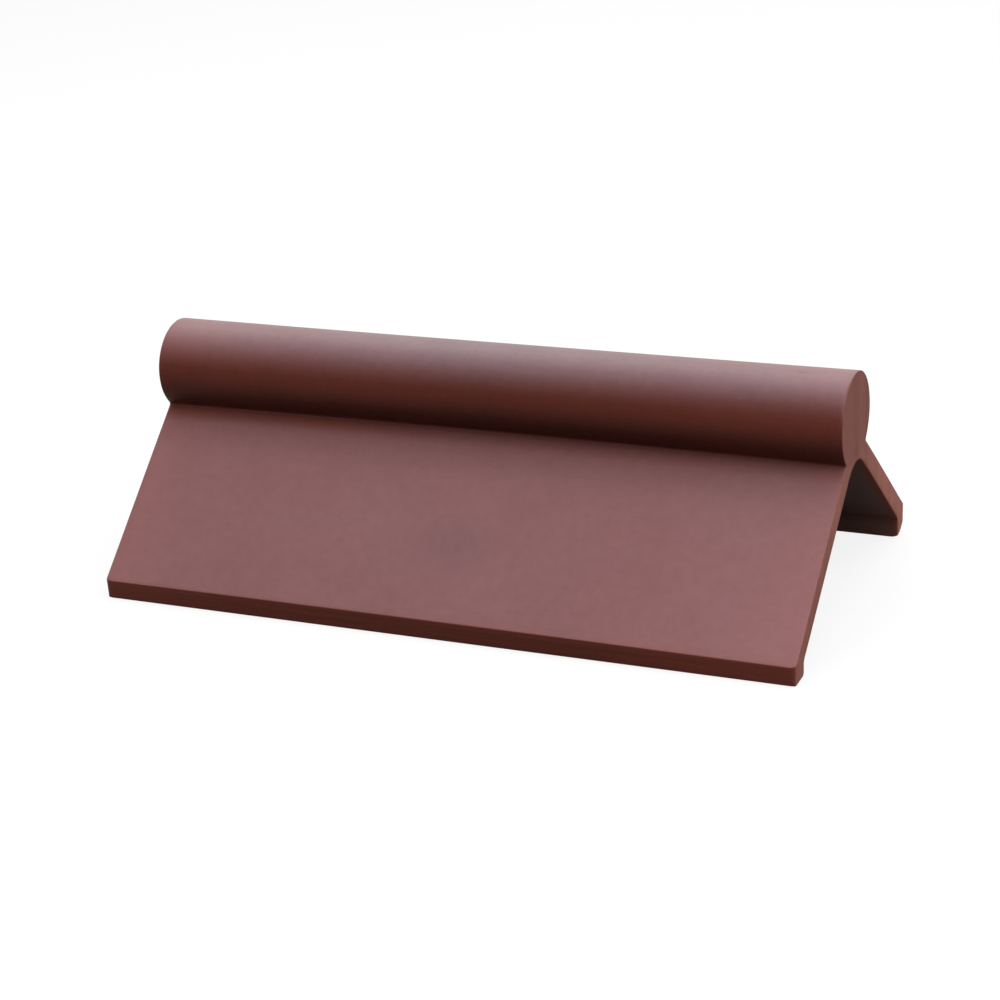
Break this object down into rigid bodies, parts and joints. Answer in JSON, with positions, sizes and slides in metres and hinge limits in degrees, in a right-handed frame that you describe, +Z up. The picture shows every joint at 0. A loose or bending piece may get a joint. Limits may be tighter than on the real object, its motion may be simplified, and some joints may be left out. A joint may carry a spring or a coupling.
{
  "type": "angle ridge tile",
  "caption": "Fired-clay angle ridge tile: two sloping wings that meet under a solid round roll, with level seats along both toes, to cap a pitched roof's ridge.",
  "frame": {"origin": "centre of the footprint, on the plane of the two seats", "axes": "+X along the ridge, +Y across it towards the back wing, +Z up through the roll"},
  "size_m": [0.45, 0.2368, 0.1443],
  "materials": {
    "fired_clay": "matte"
  },
  "bodies": {
    "root": {"ridge_tile": "fired_clay"}
  },
  "joints": []
}
